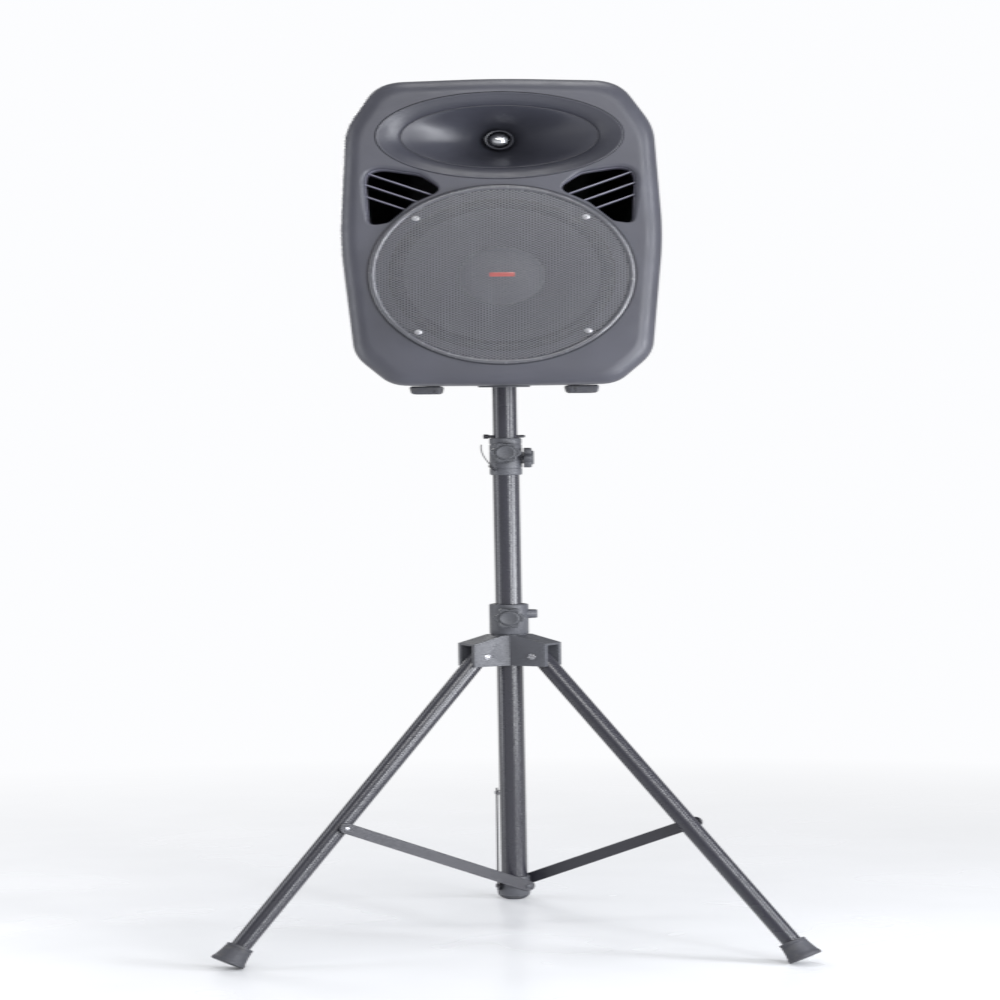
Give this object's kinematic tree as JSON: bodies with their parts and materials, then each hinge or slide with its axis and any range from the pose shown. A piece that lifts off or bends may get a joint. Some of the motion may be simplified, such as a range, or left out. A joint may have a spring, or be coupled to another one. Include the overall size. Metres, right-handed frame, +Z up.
{
  "type": "pa speaker on tripod stand",
  "caption": "Two-way moulded loudspeaker with a round grille, an elliptical horn and corner ports, held on a telescopic tripod stand with folding legs.",
  "frame": {"origin": "middle of the footprint's bounding box, on the floor", "axes": "+Z up along the mast; the cabinet's front, with its grille and horn, faces -Y; +X is to the right of a viewer who faces the front"},
  "size_m": [0.8516, 0.7444, 1.859],
  "materials": {
    "stand_paint": "satin black powder coat",
    "stand_nylon": "glass-filled black nylon",
    "spring_steel": "blackened steel",
    "bright_steel": "bright plated",
    "foot_rubber": "matt black rubber",
    "cabinet_plastic": "fine-textured charcoal moulding",
    "grille_steel": "black powder coat on perforated steel, glossy rolled rim",
    "panel_steel": "black powder coat",
    "basket_steel": "black paint",
    "surround_rubber": "soft matt rubber",
    "cone_paper": "pressed black paper",
    "coil_former": "plain",
    "magnet_ferrite": "dark ferrite and plated steel",
    "plug_metal": "polished",
    "socket_nylon": "black moulding",
    "sink_aluminium": "black anodised",
    "board_laminate": "green laminate"
  },
  "bodies": {
    "stand": {"main_tube": "stand_paint", "mast_clamp": "stand_nylon", "pin_wire": "spring_steel", "bottom_bracket": "stand_nylon"},
    "mast": {"upper_tube": "stand_paint"},
    "locking_pin": {"locking_pin": "spring_steel"},
    "speaker": {"front_baffle": "cabinet_plastic", "rear_cabinet": "cabinet_plastic", "grille": "grille_steel", "grille_screw_1": "bright_steel", "grille_screw_2": "bright_steel", "grille_screw_3": "bright_steel", "grille_screw_4": "bright_steel", "woofer_basket": "basket_steel", "woofer_surround": "surround_rubber", "woofer_cone": "cone_paper", "dust_cap": "cone_paper", "voice_coil": "coil_former", "woofer_magnet": "magnet_ferrite", "horn": "cabinet_plastic", "phase_plug": "plug_metal", "compression_driver": "magnet_ferrite", "port_left": "cabinet_plastic", "port_right": "cabinet_plastic", "pole_socket": "socket_nylon", "cabinet_foot_1": "foot_rubber", "cabinet_foot_2": "foot_rubber", "cabinet_foot_3": "foot_rubber", "cabinet_foot_4": "foot_rubber", "handle_cup": "cabinet_plastic", "top_handle": "cabinet_plastic", "amp_panel": "panel_steel", "input_jack": "socket_nylon", "power_inlet": "socket_nylon", "heat_sink": "sink_aluminium", "amp_board": "board_laminate"},
    "level_knob_1": {"level_knob_1": "socket_nylon"},
    "level_knob_2": {"level_knob_2": "socket_nylon"},
    "power_switch": {"power_switch": "socket_nylon"},
    "clamp_knob_front": {"clamp_knob_front": "stand_nylon"},
    "clamp_knob_side": {"clamp_knob_side": "stand_nylon"},
    "hub": {"hub": "stand_nylon", "hub_bush": "stand_nylon", "leg_pin_1": "bright_steel", "leg_pin_2": "bright_steel", "leg_pin_3": "bright_steel"},
    "hub_knob": {"hub_knob": "stand_nylon"},
    "leg_1": {"leg_1": "stand_paint", "leg_foot_1": "foot_rubber"},
    "strap_1": {"strap_1": "stand_paint", "strap_rivet_1": "bright_steel"},
    "leg_2": {"leg_2": "stand_paint", "leg_foot_2": "foot_rubber"},
    "strap_2": {"strap_2": "stand_paint", "strap_rivet_2": "bright_steel"},
    "leg_3": {"leg_3": "stand_paint", "leg_foot_3": "foot_rubber"},
    "strap_3": {"strap_3": "stand_paint", "strap_rivet_3": "bright_steel"}
  },
  "joints": [
    {"name": "mast_height", "type": "slide", "parent": "stand", "child": "mast", "axis": [0, 0, 1], "range_m": [0, 0.55]},
    {"name": "locking_pin_pull", "type": "slide", "parent": "mast", "child": "locking_pin", "axis": [-1, 0, 0], "range_m": [0, 0.06]},
    {"name": "speaker_swivel", "type": "hinge", "parent": "mast", "child": "speaker", "pos_m": [0, -0.11476, 1.213], "axis": [0, 0, 1], "continuous": true},
    {"name": "level_knob_1_turn", "type": "hinge", "parent": "speaker", "child": "level_knob_1", "pos_m": [-0.055, 0.05354, 1.618], "axis": [0, 1, 0], "range_deg": [-140, 140]},
    {"name": "level_knob_2_turn", "type": "hinge", "parent": "speaker", "child": "level_knob_2", "pos_m": [-0.055, 0.05354, 1.578], "axis": [0, 1, 0], "range_deg": [-140, 140]},
    {"name": "power_switch_rock", "type": "hinge", "parent": "speaker", "child": "power_switch", "pos_m": [-0.019, 0.05354, 1.391], "axis": [1, 0, 0], "range_deg": [0, 20]},
    {"name": "clamp_knob_front_turn", "type": "hinge", "parent": "stand", "child": "clamp_knob_front", "pos_m": [0, -0.11476, 1.069], "axis": [0, -1, 0], "range_deg": [0, 360]},
    {"name": "clamp_knob_side_turn", "type": "hinge", "parent": "stand", "child": "clamp_knob_side", "pos_m": [0, -0.11476, 1.057], "axis": [1, 0, 0], "range_deg": [0, 360]},
    {"name": "hub_height", "type": "slide", "parent": "stand", "child": "hub", "axis": [0, 0, 1], "range_m": [0, 0.23]},
    {"name": "hub_knob_turn", "type": "hinge", "parent": "hub", "child": "hub_knob", "pos_m": [0, -0.11476, 0.712], "axis": [0, -1, 0], "range_deg": [0, 360]},
    {"name": "leg_1_fold", "type": "hinge", "parent": "hub", "child": "leg_1", "pos_m": [-0.0433, -0.13976, 0.629], "axis": [0.5, -0.866, 0], "range_deg": [0, 30]},
    {"name": "leg_2_fold", "type": "hinge", "parent": "hub", "child": "leg_2", "pos_m": [0.0433, -0.13976, 0.629], "axis": [0.5, 0.866, 0], "range_deg": [0, 30]},
    {"name": "leg_3_fold", "type": "hinge", "parent": "hub", "child": "leg_3", "pos_m": [0, -0.06476, 0.629], "axis": [-1, 0, 0], "range_deg": [0, 30]},
    {"name": "strap_1_lift", "type": "hinge", "parent": "stand", "child": "strap_1", "pos_m": [0.00779, -0.11026, 0.125], "axis": [-0.5, 0.866, 0], "range_deg": [0, 46]},
    {"name": "strap_2_lift", "type": "hinge", "parent": "stand", "child": "strap_2", "pos_m": [-0.00779, -0.11026, 0.125], "axis": [-0.5, -0.866, 0], "range_deg": [0, 46]},
    {"name": "strap_3_lift", "type": "hinge", "parent": "stand", "child": "strap_3", "pos_m": [0, -0.12376, 0.125], "axis": [1, 0, 0], "range_deg": [0, 46]}
  ],
  "couplings": [
    {"joint": "leg_1_fold", "follows": "hub_height", "rad_per_m": 2.1268},
    {"joint": "leg_2_fold", "follows": "hub_height", "rad_per_m": 2.1268},
    {"joint": "leg_3_fold", "follows": "hub_height", "rad_per_m": 2.1268},
    {"joint": "strap_1_lift", "follows": "hub_height", "rad_per_m": 3.3464},
    {"joint": "strap_2_lift", "follows": "hub_height", "rad_per_m": 3.3464},
    {"joint": "strap_3_lift", "follows": "hub_height", "rad_per_m": 3.3464}
  ]
}
